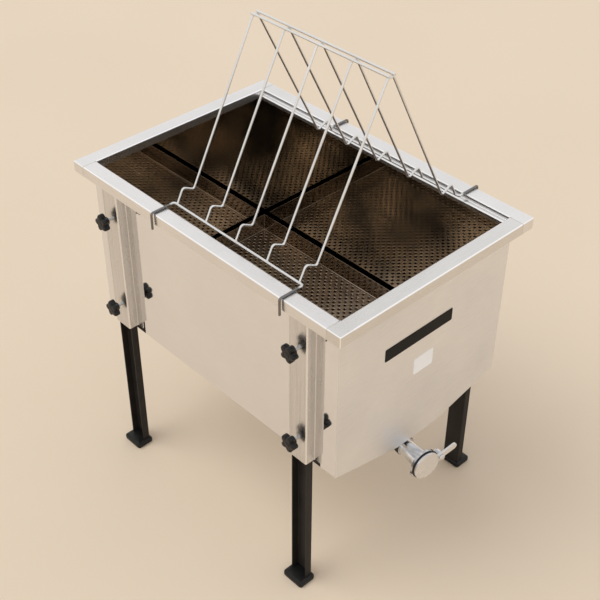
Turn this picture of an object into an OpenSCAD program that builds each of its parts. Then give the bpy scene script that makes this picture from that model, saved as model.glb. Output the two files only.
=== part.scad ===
// Uncapping tank: a folded stainless tub on four sliding legs, with a sieve tray inside,
// a wire rack hooked across the rim and a swing-gate valve on a bent outlet pipe.
// Millimetres, +Z up, +X towards the outlet. The origin is on the floor, under the middle
// of the whole object's length and width.

/* [Tub] */
// Length of the tub over its end walls
tub_l = 752; // [690:1:850]
// Width of the tub over its long walls
tub_w = 490; // [470:1:560]
// Height of the rim above the floor, with the legs pushed in
rim_h = 766; // [700:1:860]
// Depth of the long walls below the rim
wall_depth = 400; // [370:1:440]
// Drop of the trough below the long walls
trough_drop = 42; // [25:1:60]
// Width of the flat strip along the trough
trough_w = 120; // [80:1:160]
// Thickness of the tub sheet
sheet_t = 1.2; // [0.8:0.1:2]

/* [Rim] */
// How far the rim stands out past the walls
rim_out = 30; // [26:1:45]
// How far the rim reaches in past the walls
rim_in = 5; // [3:1:8]
// Height of the folded outer lip
lip_h = 25; // [15:1:35]
// Height of the folded inner hem of the end rims
hem_h = 20; // [12:1:30]
// Depth of the long rims' ledge below the rim top
ledge_drop = 11; // [8:1:16]
// Width of the ledge
ledge_w = 10; // [6:1:14]
// Height of the ledge's turned-down edge
ledge_edge_h = 10; // [5:1:15]

/* [Sieve tray] */
// Clear gap between the tray and the inner edges of the end rims
tray_gap = 4; // [2:0.5:8]
// Clear gap between the tray and the long walls
tray_side_gap = 8; // [6:0.5:18]
// Height of the tray's turned-up sides
tray_h = 47; // [30:1:70]
// Height of the tray's floor above the bottom edge of the long walls
tray_rise = 0.5; // [0.5:0.5:25]
// Thickness of the perforated sheet
sieve_t = 1; // [0.8:0.1:2]
// Diameter of a drain hole
drain_d = 6; // [3:0.5:10]
// Spacing of the drain holes
drain_spacing = 48; // [30:1:80]
// Length of the angle that carries one end of the tray
rest_l = 220; // [120:1:300]
// Width of the angle's leg under the tray
rest_w = 24; // [18:1:32]
// Height of the angle's leg on the wall
rest_h = 12; // [8:1:16]
// Thickness of the angle
rest_t = 2; // [1.5:0.5:4]

/* [Leg sleeves] */
// Distance between the two sleeves of one side, middle to middle
sleeve_spacing = 584; // [480:1:600]
// Width of a sleeve's face
sleeve_w = 51; // [44:1:60]
// Depth of a sleeve
sleeve_depth = 25; // [23.5:0.5:30]
// Width of a sleeve's weld flange
flange_w = 18; // [10:1:25]
// Height of the sleeve's lower end above the bottom edge of the long walls
sleeve_up = 11; // [4:1:30]

/* [Legs and feet] */
// Depth of the leg channel
leg_depth = 19; // [14:0.5:19.5]
// Thickness of the leg channel
leg_t = 2.5; // [1.5:0.5:4]
// Clear gap between a leg and each side of its sleeve
leg_clear = 2.3; // [1:0.1:4]
// Length of a foot along the tub
foot_l = 57; // [50:1:65]
// Width of a foot across the tub
foot_w = 44; // [32:1:50]
// Height of a foot
foot_h = 15; // [10:1:20]
// Thickness of a foot under the leg
foot_sole = 4; // [3:0.5:6]
// Corner radius of a foot
foot_r = 6; // [2:0.5:10]

/* [Clamp knobs] */
// Depth of the upper knob below the rim
knob_drop = 97; // [70:1:130]
// Height of the lower knob above the bottom edge of the long walls
knob_rise = 70; // [50:1:120]
// Overall diameter of a star knob
knob_d = 40; // [30:1:50]
// Number of lobes on a star knob
knob_lobes = 5; // [4:1:7]
// Radius of one lobe
lobe_r = 6.5; // [4:0.5:8]
// Thickness of the star
star_h = 15; // [10:1:20]
// Diameter of the hub behind the star
hub_d = 18; // [14:1:24]
// Length of the hub
hub_h = 5; // [3:0.5:8]
// Diameter of the clamp stud
stud_d = 8; // [6:1:10]
// Length of stud that shows between the sleeve and the hub
stud_show = 9; // [5:0.5:15]
// Width across the flats of the weld nut
nut_af = 13; // [13:1:17]
// Thickness of the weld nut
nut_h = 4; // [3:0.5:4]

/* [Outlet pipe] */
// Distance from the outlet end wall to the middle of the drain
drain_inset = 61; // [56:1:110]
// Distance of the drain to the front of the tub's middle
drain_side = 18; // [0:1:30]
// Outer radius of the outlet pipe
pipe_r = 18; // [17:0.5:20]
// Wall of the outlet pipe
pipe_t = 2; // [1.5:0.5:3]
// Straight drop of the pipe below the trough
pipe_stub = 1; // [1:0.5:15]
// Radius of the pipe's bend at its middle line
pipe_bend_r = 22; // [20:1:45]
// Angle of the valve below the horizontal
valve_tilt = 0; // [0:1:20]
// Angle that the outlet is turned to the front about its drain
valve_turn = 8; // [0:1:20]
// Length of straight pipe after the bend
pipe_tail = 17.5; // [5:0.5:30]
// Length of the collar on the pipe's end
collar_l = 10; // [6:1:16]
// Thickness of the collar round the pipe
collar_t = 3; // [2:0.5:5]

/* [Valve] */
// Length of the spout
spout_l = 68; // [60:1:90]
// Radius of the spout's bore
bore_r = 15; // [12:0.5:15]
// Wall of the spout at its neck
spout_wall = 3; // [2:0.5:3.5]
// How far the spout opens from its neck to the mouth flange
spout_swell = 5.5; // [3:0.5:7]
// Thickness of the spout's base ring
base_t = 5; // [3:0.5:8]
// Radius of the mouth flange
mouth_r = 33; // [32:0.5:35]
// Thickness of the mouth flange
mouth_t = 8; // [5:0.5:12]
// Radius of the flange's lug opposite the pivot
lug_r = 9; // [6:0.5:10]
// Angle of the lug below the line of disc and pivot
lug_angle = 15; // [0:5:40]
// Outer radius of the mouth seal
seal_r = 27; // [24:0.5:28]
// Thickness of the rubber seals
seal_t = 2; // [1.5:0.5:4]
// Radius of the gate disc
gate_r = 32; // [31:0.5:36]
// Thickness of the gate
gate_t = 5; // [3:0.5:8]
// Distance from the gate's middle to its pivot
pivot_y = 38; // [38:0.5:46]
// Angle of the pivot above the gate's middle
pivot_lift = 10; // [0:1:15]
// Radius of the pivot boss
boss_r = 9; // [7.5:0.5:9.5]
// Radius of the pivot screw
pivot_r = 3; // [2.5:0.5:4]
// Length of the lever past the pivot
lever_l = 44; // [30:1:60]
// Width of the lever
lever_w = 14; // [10:0.5:15]
// Angle of the lever above the line of disc and pivot
lever_angle = 4; // [0:1:35]
// Radius of the pivot screw's head
head_r = 6.5; // [5:0.5:8]
// Height of the pivot screw's head
head_h = 4.5; // [3:0.5:6]
// Thickness of the spring washer
washer_t = 1.2; // [0.8:0.1:2]
// Width across the flats of the lock nut
lock_af = 11; // [10:0.5:13]
// Thickness of the lock nut
lock_h = 5; // [4:0.5:7]

/* [Rack] */
// Diameter of the rack wire
wire_d = 5; // [4:0.5:6]
// Radius of the wire's bends at the middle of the wire
wire_bend_r = 6; // [4.5:0.5:8]
// Distance of the rack's middle from the tub's middle, towards the outlet
rack_x = 64; // [0:1:100]
// Spacing of the hoops
hoop_spacing = 90; // [70:1:100]
// Distance from a rail to the tub wall
rail_inset = 24.5; // [22:0.5:35]
// Length of rail past the end hoops
rail_over = 10; // [8:1:20]
// Lean of the hoops from upright
rack_lean = 27.5; // [22:0.5:32]
// Length of the hoop below its step
step_rise = 36; // [25:1:50]
// Depth of the step
step_depth = 31; // [20:1:40]
// Distance between the two ridge wires
ridge_gap = 14.5; // [12:0.5:20]
// Length of ridge wire past the end hoops
ridge_over = 4; // [3:1:15]
// How far the hooks reach down below the rim top
hook_drop = 35; // [20:1:45]
// Gap between a hook and the lip
hook_gap = 2.4; // [2.2:0.1:4]

/* [Hidden] */
$fn = 48;
// Clearances: parts that slide or rest on each other, and round running fits
rest_gap = 0.3;
run_gap = 0.05;
// How far welded wires sink into each other
weld_sink = 1;
// How much fatter a bend is than its straights, on the radius
bend_swell = 0.1;
// Overlap of a cut past the face it opens
cut = 1;
hoops = 5;
hoop_numbers = [1 : hoops];

half_l = tub_l / 2;
half_w = tub_w / 2;
wall_foot_z = rim_h - wall_depth;
trough_z = wall_foot_z - trough_drop;
rim_x = half_l - rim_in;
rim_y = half_w - rim_in;
out_x = half_l + rim_out;
out_y = half_w + rim_out;

ledge_y = rim_y - ledge_w;
tray_half_l = rim_x - tray_gap;
tray_half_w = half_w - sheet_t - tray_side_gap;
tray_z = wall_foot_z + tray_rise;

sleeve_x = sleeve_spacing / 2;
sleeve_z = wall_foot_z + sleeve_up;
sleeve_top = rim_h - lip_h - 2 * sheet_t;
face_y = half_w + sleeve_depth;
leg_w = sleeve_w - 2 * sheet_t - 2 * leg_clear;
leg_y = half_w + rest_gap;
leg_top = rim_h - sheet_t - rest_gap;
// The leg's web lies behind the open side of the foot, which stands out past the leg
foot_back = 4;
foot_y = leg_y - foot_back;
knob_z = [rim_h - knob_drop, wall_foot_z + knob_rise];
stud_r = stud_d / 2;
stud_tip_y = leg_y + leg_t + rest_gap;
stud_grip = hub_h + star_h / 2;
hub_y = face_y + stud_show;
lobe_ring = knob_d / 2 - lobe_r;

// The drain, the bend and the valve follow each other from the trough
drain_x = half_l - drain_inset;
bend_z = trough_z - sheet_t - pipe_stub;
bend_turn = 90 - valve_tilt;
pipe_run = pipe_tail + collar_l + seal_t + spout_l;
mouth_x = drain_x + pipe_bend_r * (1 - cos(bend_turn)) + pipe_run * cos(valve_tilt);
mouth_z = bend_z - pipe_bend_r * sin(bend_turn) - pipe_run * sin(valve_tilt);
collar_r = pipe_r + collar_t;
waist_r = bore_r + spout_wall;
// How late along its length the spout opens into a bell
bell_power = 1.5;
// The lug's middle lies inside the flange's edge, and its faces lie behind the flange's
lug_in = 4;
lug_step = 0.6;
// A small gap keeps the gate off its seal and off the pivot boss
gate_z = seal_t + 2 * run_gap;
gate_front = gate_z + gate_t;
head_z = gate_front + run_gap + washer_t;
screw_tail = 1.5;

wire_r = wire_d / 2;
rail_z = rim_h + rest_gap + wire_r;
rail_y = half_w - rail_inset;
hook_y = out_y + hook_gap + wire_r;
hoop_x = [for (i = hoop_numbers) rack_x + (i - (hoops + 1) / 2) * hoop_spacing];
rail_ends = [hoop_x[0] - rail_over, hoop_x[hoops - 1] + rail_over];
ridge_ends = [hoop_x[0] - ridge_over, hoop_x[hoops - 1] + ridge_over];
// Directions up the hoop and across its step, and the points of one side of it
hoop_up = [-sin(rack_lean), cos(rack_lean)];
hoop_in = [-cos(rack_lean), -sin(rack_lean)];
hoop_foot = [rail_y, rail_z] + hoop_up * (wire_r - weld_sink);
step_out = [rail_y, rail_z] + hoop_up * step_rise;
step_in = step_out + hoop_in * step_depth;
ridge_y = ridge_gap / 2;
ridge_z = step_in[1] + (step_in[0] - ridge_y) / tan(rack_lean);
ridge_wire_z = ridge_z + wire_d - weld_sink;

// How far a disc on the valve reaches along the tub, from its distance out of the mouth,
// its middle sideways and upwards from the mouth's, and its radius
mouth_out = drain_x + (mouth_x - drain_x) * cos(valve_turn);
side_run = [sin(valve_turn), sin(valve_tilt) * cos(valve_turn)];
function reach(forward, side, r) =
    mouth_out + forward * cos(valve_tilt) * cos(valve_turn) + side * side_run + r * norm(side_run);
pivot_at = pivot_y * [cos(pivot_lift), sin(pivot_lift)];
lever_run = lever_l - lever_w / 2;
lever_rise = pivot_lift + lever_angle;
lever_end = pivot_at + lever_run * [cos(lever_rise), sin(lever_rise)];
valve_reach = max(
    reach(gate_front, [0, 0], gate_r),
    reach(gate_front, pivot_at, boss_r),
    reach(gate_front, lever_end, lever_w / 2),
    reach(head_z + head_h, pivot_at, head_r)
);
// Middle of the whole length, from the rear rim to the valve
mid_x = (max(valve_reach, out_x) - out_x) / 2;

polished = "#c9c3ba";
satin = "#d8dade";
dark = "#2b2928";
plastic = "#232323";
bright = "#c8cacd";
rubber = "#1c1c1c";

corners = [
    ["front_outlet", 1, -1],
    ["front_rear", -1, -1],
    ["back_outlet", 1, 1],
    ["back_rear", -1, 1]
];
levels = [["upper", 0], ["lower", 1]];
corner_names = [for (c = corners) c[0]];
knob_names = [for (c = corners, l = levels) str(c[0], "_", l[0])];

// Placing

// Moves the tub's own frame so that the origin is under the middle of the object
module placed() {
    translate([-mid_x, 0, 0]) children();
}

// Carries what is drawn for the back outlet corner to another corner
module to_corner(c) {
    mirror([c[1] < 0 ? 1 : 0, 0, 0]) mirror([0, c[2] < 0 ? 1 : 0, 0]) children();
}

// Carries what is drawn for the back side to the front side
module to_front() {
    mirror([0, 1, 0]) children();
}

// Carries what is drawn for the outlet end to the rear end
module to_rear() {
    mirror([1, 0, 0]) children();
}

// Turns a drawing's Z axis to +Y, with its X axis kept
module face_back() {
    rotate([-90, 0, 0]) children();
}

// Turns the outlet about its drain
module turned() {
    translate([drain_x, -drain_side, 0]) rotate([0, 0, -valve_turn]) translate([-drain_x, 0, 0]) children();
}

// The valve's frame: Z out along the spout from its mouth, Y towards the pivot, -X up
module at_mouth() {
    turned() translate([mouth_x, 0, mouth_z]) rotate([0, 90 + valve_tilt, 0])
        rotate([0, 0, pivot_lift]) children();
}

// Shared shapes

// A box from one corner to the opposite one
module span(low, high) {
    translate(low) cube(high - low);
}

// A rectangle with round corners, its low corner at the origin
module round_rect(size, r) {
    translate([r, 0]) square([size[0] - 2 * r, size[1]]);
    translate([0, r]) square([size[0], size[1] - 2 * r]);
    for (x = [r, size[0] - r], y = [r, size[1] - r]) translate([x, y]) circle(r);
}

// A nut with a round hole, from z = 0 upwards
module hex_nut(af, h, hole_r) {
    difference() {
        cylinder(d = af / cos(30), h = h, $fn = 6);
        translate([0, 0, -cut]) cylinder(r = hole_r, h = h + 2 * cut);
    }
}

// A flat ring from z = 0 upwards
module ring(inner_r, outer_r, h) {
    difference() {
        cylinder(r = outer_r, h = h);
        translate([0, 0, -cut]) cylinder(r = inner_r, h = h + 2 * cut);
    }
}

function unit(v) = v / norm(v);
function beside(d) = abs(d[2]) < 0.9 ? unit(cross([0, 0, 1], d)) : unit(cross([1, 0, 0], d));

// Places a drawing with its origin and axes given
module on_axes(o, x, y, z) {
    multmatrix([
        [x[0], y[0], z[0], o[0]],
        [x[1], y[1], z[1], o[1]],
        [x[2], y[2], z[2], o[2]],
        [0, 0, 0, 1]
    ]) children();
}

// A straight round bar from a to b
module bar(a, b, d) {
    z = unit(b - a);
    x = beside(z);
    on_axes(a, x, cross(z, x), z) cylinder(d = d, h = norm(b - a));
}

// A round bar's bend at corner p, from direction d1 to direction d2
module elbow(p, d1, d2, r, d) {
    turn = acos(d1 * d2);
    inward = unit(d2 - (d1 * d2) * d1);
    start = p - d1 * r * tan(turn / 2);
    on_axes(start + inward * r, -inward, d1, cross(-inward, d1))
        rotate_extrude(angle = turn) translate([r, 0]) circle(d = d);
}

// A round bar through a list of corners, bent to radius r at each inner one.
// Bends are a hair fatter than the straights, which run on a little inside them
module bent_wire(corner_points, r, d) {
    last = len(corner_points) - 1;
    run_on = sqrt(r * bend_swell);
    dirs = [for (i = [0 : last - 1]) unit(corner_points[i + 1] - corner_points[i])];
    trims = [for (i = [0 : last])
        i == 0 || i == last ? 0 : r * tan(acos(dirs[i - 1] * dirs[i]) / 2) - run_on];
    for (i = [0 : last - 1])
        bar(corner_points[i] + dirs[i] * trims[i], corner_points[i + 1] - dirs[i] * trims[i + 1], d);
    for (i = [1 : last - 1])
        elbow(corner_points[i], dirs[i - 1], dirs[i], r, d + 2 * bend_swell);
}

// Tub

// Outline of the tub's cross-section, taken in by t from its outer faces
module tub_section(t) {
    low = t * (1 - trough_drop / tub_w);
    polygon([
        [-half_w + t, rim_h - sheet_t + t],
        [-half_w + t, wall_foot_z + low],
        [-trough_w / 2, trough_z + t],
        [trough_w / 2, trough_z + t],
        [half_w - t, wall_foot_z + low],
        [half_w - t, rim_h - sheet_t + t]
    ]);
}

// Draws a cross-section along the tub from x = a to x = b
module along_tub(a, b) {
    translate([a, 0, 0]) rotate([90, 0, 90]) linear_extrude(b - a) children();
}

// The long walls and the trough, folded from one sheet, with the drain hole in its floor
module tub_wrap() {
    inner_l = half_l - sheet_t;
    color(polished) difference() {
        along_tub(-inner_l, inner_l) difference() {
            tub_section(0);
            tub_section(sheet_t);
        }
        translate([drain_x, -drain_side, trough_z - cut])
            cylinder(r = pipe_r + run_gap, h = sheet_t * 2 + 2 * cut);
    }
}

// One flat end wall, drawn at the outlet end
module end_wall() {
    color(polished) along_tub(half_l - sheet_t, half_l) tub_section(0);
}

// A long rim, drawn at the back: lip, top, stepped ledge; it may own the outlet corner
module long_rim(owns_corner) {
    top_end = owns_corner ? out_x : rim_x;
    ledge_z = rim_h - ledge_drop;
    color(satin) {
        span([-rim_x, rim_y, rim_h - sheet_t], [top_end, out_y, rim_h]);
        span([-rim_x, out_y - sheet_t, rim_h - lip_h], [top_end, out_y, rim_h]);
        span([-rim_x, rim_y, ledge_z - sheet_t], [rim_x, rim_y + sheet_t, rim_h]);
        span([-rim_x, ledge_y, ledge_z - sheet_t], [rim_x, rim_y + sheet_t, ledge_z]);
        span([-rim_x, ledge_y, ledge_z - ledge_edge_h], [rim_x, ledge_y + sheet_t, ledge_z]);
        if (owns_corner)
            span([out_x - sheet_t, rim_y, rim_h - lip_h], [out_x, out_y, rim_h]);
    }
}

// An end rim, drawn at the outlet: it owns its front corner, and its back corner if told so
module end_rim(owns_back) {
    back = owns_back ? out_y : rim_y;
    color(satin) {
        span([rim_x, -out_y, rim_h - sheet_t], [out_x, back, rim_h]);
        span([out_x - sheet_t, -out_y, rim_h - lip_h], [out_x, back, rim_h]);
        span([rim_x, -rim_y, rim_h - hem_h], [rim_x + sheet_t, rim_y, rim_h]);
        span([rim_x, -out_y, rim_h - lip_h], [out_x, -out_y + sheet_t, rim_h]);
        if (owns_back)
            span([rim_x, out_y - sheet_t, rim_h - lip_h], [out_x, out_y, rim_h]);
    }
}

// Sieve tray

// The perforated floor of the tray
module sieve_sheet() {
    field = [tray_half_l, tray_half_w] * 2 - [drain_spacing, drain_spacing];
    columns = floor(field[0] / drain_spacing);
    rows = floor(field[1] / drain_spacing);
    color(bright) difference() {
        span([-tray_half_l, -tray_half_w, tray_z], [tray_half_l, tray_half_w, tray_z + sieve_t]);
        for (i = [0 : columns], j = [0 : rows])
            translate([(i - columns / 2) * drain_spacing, (j - rows / 2) * drain_spacing, tray_z - cut])
                cylinder(d = drain_d, h = sieve_t + 2 * cut);
    }
}

// The turned-up sides of the tray, standing on its floor
module sieve_sides() {
    low = tray_z + sieve_t;
    high = tray_z + tray_h;
    color(bright) difference() {
        span([-tray_half_l, -tray_half_w, low], [tray_half_l, tray_half_w, high]);
        span([-tray_half_l + sieve_t, -tray_half_w + sieve_t, low - cut],
            [tray_half_l - sieve_t, tray_half_w - sieve_t, high + cut]);
    }
}

// The angle on the outlet wall that carries one end of the tray
module tray_rest() {
    wall_x = half_l - sheet_t;
    top = tray_z - rest_gap;
    color(polished) {
        span([wall_x - rest_w, -rest_l / 2, top - rest_t], [wall_x, rest_l / 2, top]);
        span([wall_x - rest_t, -rest_l / 2, top - rest_h], [wall_x, rest_l / 2, top]);
    }
}

// Legs, drawn at the back outlet corner

// The hat-shaped sleeve welded on the long wall, with clear holes for the two studs
module sleeve() {
    half = sleeve_w / 2;
    foot = half + flange_w;
    t = sheet_t;
    color(polished) difference() {
        translate([sleeve_x, half_w, sleeve_z]) linear_extrude(sleeve_top - sleeve_z) polygon([
            [-foot, 0], [-half + t, 0], [-half + t, sleeve_depth - t], [half - t, sleeve_depth - t],
            [half - t, 0], [foot, 0], [foot, t], [half, t], [half, sleeve_depth],
            [-half, sleeve_depth], [-half, t], [-foot, t]
        ]);
        for (z = knob_z) translate([sleeve_x, face_y - t - cut, z]) face_back()
            cylinder(r = stud_r + rest_gap, h = t + 2 * cut);
    }
}

// The two weld nuts behind a sleeve's face
module clamp_nut_pair() {
    color(bright) for (z = knob_z)
        translate([sleeve_x, face_y - sheet_t - nut_h, z]) face_back()
            hex_nut(nut_af, nut_h, stud_r + run_gap);
}

// The leg: a channel with its web against the tub and its open side outwards
module leg() {
    inner = [leg_w - 2 * leg_t, leg_depth];
    color(dark) translate([sleeve_x, leg_y, foot_sole]) linear_extrude(leg_top - foot_sole)
        difference() {
            translate([-leg_w / 2, 0]) square([leg_w, leg_depth]);
            translate([-inner[0] / 2, leg_t]) square(inner);
        }
}

// The plastic foot, with a pocket for the leg's end
module foot() {
    color(plastic) difference() {
        translate([sleeve_x - foot_l / 2, foot_y, 0]) linear_extrude(foot_h)
            round_rect([foot_l, foot_w], foot_r);
        translate([sleeve_x - leg_w / 2 - run_gap, leg_y - run_gap, foot_sole])
            cube([leg_w + 2 * run_gap, leg_depth + 2 * run_gap, foot_h]);
    }
}

// The star knob: hub and lobed head, bored for its stud
module knob(z) {
    color(plastic) translate([sleeve_x, hub_y, z]) face_back() difference() {
        union() {
            cylinder(d = hub_d, h = hub_h);
            translate([0, 0, hub_h]) linear_extrude(star_h) {
                circle(lobe_ring);
                for (i = [1 : knob_lobes])
                    rotate(i * 360 / knob_lobes) translate([lobe_ring, 0]) circle(lobe_r);
            }
        }
        translate([0, 0, -cut]) cylinder(r = stud_r + run_gap, h = stud_grip + cut);
    }
}

// The clamp stud, from inside the knob to just clear of the leg's web
module stud(z) {
    color(bright) translate([sleeve_x, stud_tip_y, z]) face_back()
        cylinder(r = stud_r, h = hub_y + stud_grip - stud_tip_y);
}

// Outlet and valve

// The bent pipe from the drain to the valve, with a collar on its end
module outlet_bend() {
    out = [cos(valve_tilt), 0, -sin(valve_tilt)];
    top = [drain_x, 0, trough_z + sheet_t];
    corner = [drain_x, 0, bend_z - pipe_bend_r * tan(bend_turn / 2)];
    end = [mouth_x, 0, mouth_z] - out * (spout_l + seal_t);
    color(bright) difference() {
        union() {
            turned() bent_wire([top, corner, end], pipe_bend_r, 2 * pipe_r);
            at_mouth() translate([0, 0, -spout_l - seal_t - collar_l])
                cylinder(r = collar_r, h = collar_l);
        }
        turned()
            bent_wire([top + [0, 0, cut], corner, end + out * cut], pipe_bend_r, 2 * (pipe_r - pipe_t));
    }
}

// The dark gasket between the collar and the spout
module valve_gasket() {
    color(rubber) at_mouth() translate([0, 0, -spout_l - seal_t])
        ring(pipe_r - pipe_t, collar_r + run_gap, seal_t);
}

// The bell-shaped spout: base ring, opening body, mouth flange, its lug and the ear of the pivot
module spout_profile() {
    body_low = -spout_l + base_t;
    body_l = spout_l - base_t - mouth_t;
    steps = 12;
    swell = [for (i = [0 : steps])
        [waist_r + spout_swell * pow(i / steps, bell_power), body_low + body_l * i / steps]];
    polygon(concat(
        [[bore_r, -spout_l], [collar_r, -spout_l], [collar_r, body_low]],
        swell,
        [[mouth_r, -mouth_t], [mouth_r, 0], [bore_r, 0]]
    ));
}

module valve_spout() {
    color(bright) at_mouth() difference() {
        union() {
            rotate_extrude() spout_profile();
            translate([-boss_r, bore_r + spout_wall, -mouth_t])
                cube([2 * boss_r, pivot_y - bore_r - spout_wall, mouth_t]);
            translate([0, pivot_y, -mouth_t]) cylinder(r = boss_r, h = mouth_t + seal_t);
            rotate([0, 0, lug_angle]) translate([0, -mouth_r + lug_in, -mouth_t + lug_step])
                cylinder(r = lug_r, h = mouth_t - 2 * lug_step);
        }
        translate([0, pivot_y, -mouth_t - cut])
            cylinder(r = pivot_r + run_gap, h = mouth_t + seal_t + 2 * cut);
    }
}

// The rubber ring that the gate closes on
module mouth_seal() {
    color(rubber) at_mouth() ring(bore_r, seal_r, seal_t);
}

// The swing gate: disc, pivot eye and lever in one plate
module gate_plate() {
    color(bright) at_mouth() translate([0, 0, gate_z]) difference() {
        linear_extrude(gate_t) {
            circle(gate_r);
            translate([-boss_r, 0]) square([2 * boss_r, pivot_y]);
            translate([0, pivot_y]) {
                circle(boss_r);
                rotate(lever_angle) {
                    translate([-lever_w / 2, 0]) square([lever_w, lever_l - lever_w / 2]);
                    translate([0, lever_l - lever_w / 2]) circle(d = lever_w);
                }
            }
        }
        translate([0, pivot_y, -cut]) cylinder(r = pivot_r + run_gap, h = gate_t + 2 * cut);
    }
}

// The screw that the gate swings on
module pivot_screw() {
    tail_z = -mouth_t - lock_h - screw_tail;
    color(bright) at_mouth() translate([0, pivot_y, 0]) {
        translate([0, 0, tail_z]) cylinder(r = pivot_r, h = head_z - tail_z);
        translate([0, 0, head_z]) cylinder(r = head_r, h = head_h);
    }
}

// The washer under the screw's head
module spring_washer() {
    color(bright) at_mouth() translate([0, pivot_y, head_z - washer_t])
        ring(pivot_r + run_gap, head_r, washer_t);
}

// The nut behind the ear
module lock_nut() {
    color(bright) at_mouth() translate([0, pivot_y, -mouth_t - lock_h])
        hex_nut(lock_af, lock_h, pivot_r + run_gap);
}

// Rack

// A rail along the back rim, its ends turned over the rim as hooks
module rack_rail() {
    a = rail_ends[0];
    b = rail_ends[1];
    tip_z = rim_h - hook_drop;
    color(bright) bent_wire([
        [a, hook_y, tip_z], [a, hook_y, rail_z], [a, rail_y, rail_z],
        [b, rail_y, rail_z], [b, hook_y, rail_z], [b, hook_y, tip_z]
    ], wire_d, wire_d);
}

// A straight wire along the back of the ridge
module ridge_wire() {
    color(bright) bar([ridge_ends[0], ridge_y, ridge_wire_z], [ridge_ends[1], ridge_y, ridge_wire_z], wire_d);
}

// A hoop from rail to rail over the ridge, stepped near each rail
module rack_hoop(x) {
    back = [hoop_foot, step_out, step_in, [ridge_y, ridge_z]];
    color(bright) bent_wire(concat(
        [for (p = back) [x, -p[0], p[1]]],
        [for (i = [len(back) - 1 : -1 : 0]) [x, back[i][0], back[i][1]]]
    ), wire_bend_r, wire_d);
}

placed() tub_wrap();
placed() end_wall();  // outlet_wall
placed() to_rear() end_wall();  // rear_wall
placed() to_front() long_rim(false);  // front_rim
placed() long_rim(true);  // back_rim
placed() end_rim(false);  // outlet_rim
placed() to_rear() end_rim(true);  // rear_rim
placed() sieve_sheet();
placed() sieve_sides();
placed() tray_rest();  // tray_rest_outlet
placed() to_rear() tray_rest();  // tray_rest_rear
placed() for (c = corners) to_corner(c) clamp_nut_pair();  // clamp_nuts
for (c = corners) {
    placed() to_corner(c) sleeve();
    placed() to_corner(c) leg();
    placed() to_corner(c) foot();
    for (l = levels) {
        at = str(c[0], "_", l[0]);
        placed() to_corner(c) knob(knob_z[l[1]]);
        placed() to_corner(c) stud(knob_z[l[1]]);
    }
}
placed() outlet_bend();
placed() valve_gasket();
placed() valve_spout();
placed() mouth_seal();
placed() gate_plate();
placed() pivot_screw();
placed() spring_washer();
placed() lock_nut();
placed() to_front() rack_rail();  // rack_rail_front
placed() rack_rail();  // rack_rail_back
placed() to_front() ridge_wire();  // ridge_wire_front
placed() ridge_wire();  // ridge_wire_back
for (i = hoop_numbers)
    placed() rack_hoop(hoop_x[i - 1]);
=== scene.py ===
import math

import bmesh
import bpy
from mathutils import Matrix, Vector


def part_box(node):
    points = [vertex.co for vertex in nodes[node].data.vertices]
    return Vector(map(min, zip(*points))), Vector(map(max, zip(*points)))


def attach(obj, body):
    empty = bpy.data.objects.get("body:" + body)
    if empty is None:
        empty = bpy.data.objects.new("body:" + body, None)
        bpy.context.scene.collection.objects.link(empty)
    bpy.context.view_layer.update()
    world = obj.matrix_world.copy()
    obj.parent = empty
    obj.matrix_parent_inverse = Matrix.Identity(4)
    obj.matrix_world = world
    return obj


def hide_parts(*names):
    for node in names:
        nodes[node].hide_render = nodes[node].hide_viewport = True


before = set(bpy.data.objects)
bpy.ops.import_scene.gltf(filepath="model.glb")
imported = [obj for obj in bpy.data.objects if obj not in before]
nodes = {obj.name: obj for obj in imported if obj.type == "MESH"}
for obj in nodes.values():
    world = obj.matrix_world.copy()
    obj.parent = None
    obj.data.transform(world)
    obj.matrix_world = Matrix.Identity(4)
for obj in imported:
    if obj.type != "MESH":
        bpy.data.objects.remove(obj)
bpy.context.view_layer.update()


# Tub
# Two long walls and a trough folded from one stainless sheet, closed by two flat end walls
# welded on. Outside, the long walls are polished and the end walls satin; inside, all of
# them are a mirror with painted shade and reflection, coloured darker, browner and patchy.

MM = 0.001
tub_low, tub_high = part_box("tub_wrap")
tub_x = (tub_low.x + tub_high.x) / 2
end_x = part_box("outlet_wall")[1].x
wall_y = tub_high.y


def new_group(name, inputs, outputs):
    """An empty shader group with named sockets, and its input and output nodes."""
    group = bpy.data.node_groups.new(name, "ShaderNodeTree")
    for label, kind, value in inputs:
        group.interface.new_socket(label, in_out="INPUT", socket_type=kind).default_value = value
    for label, kind in outputs:
        group.interface.new_socket(label, in_out="OUTPUT", socket_type=kind)
    return group, group.nodes.new("NodeGroupInput"), group.nodes.new("NodeGroupOutput")


def noise(tree, vector, scale, detail):
    """A noise texture's value on the given coordinates."""
    made = tree.nodes.new("ShaderNodeTexNoise")
    made.inputs["Scale"].default_value = scale
    made.inputs["Detail"].default_value = detail
    tree.links.new(vector, made.inputs["Vector"])
    return made.outputs["Fac"]


def maths(tree, kind, a, b):
    """One Math node; a and b are sockets or numbers."""
    made = tree.nodes.new("ShaderNodeMath")
    made.operation = kind
    for socket, value in zip(made.inputs, (a, b)):
        if isinstance(value, (int, float)):
            socket.default_value = value
        else:
            tree.links.new(value, socket)
    return made.outputs[0]


# Range that most values of a noise texture lie in
noise_low = 0.3
noise_high = 0.7


def spread(tree, value, low, high):
    """Widens a noise value's middle to the range low..high; low and high may be sockets."""
    made = tree.nodes.new("ShaderNodeMapRange")
    made.inputs["From Min"].default_value = noise_low
    made.inputs["From Max"].default_value = noise_high
    tree.links.new(value, made.inputs["Value"])
    for label, end in (("To Min", low), ("To Max", high)):
        if isinstance(end, (int, float)):
            made.inputs[label].default_value = end
        else:
            tree.links.new(end, made.inputs[label])
    return made.outputs["Result"]


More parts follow.
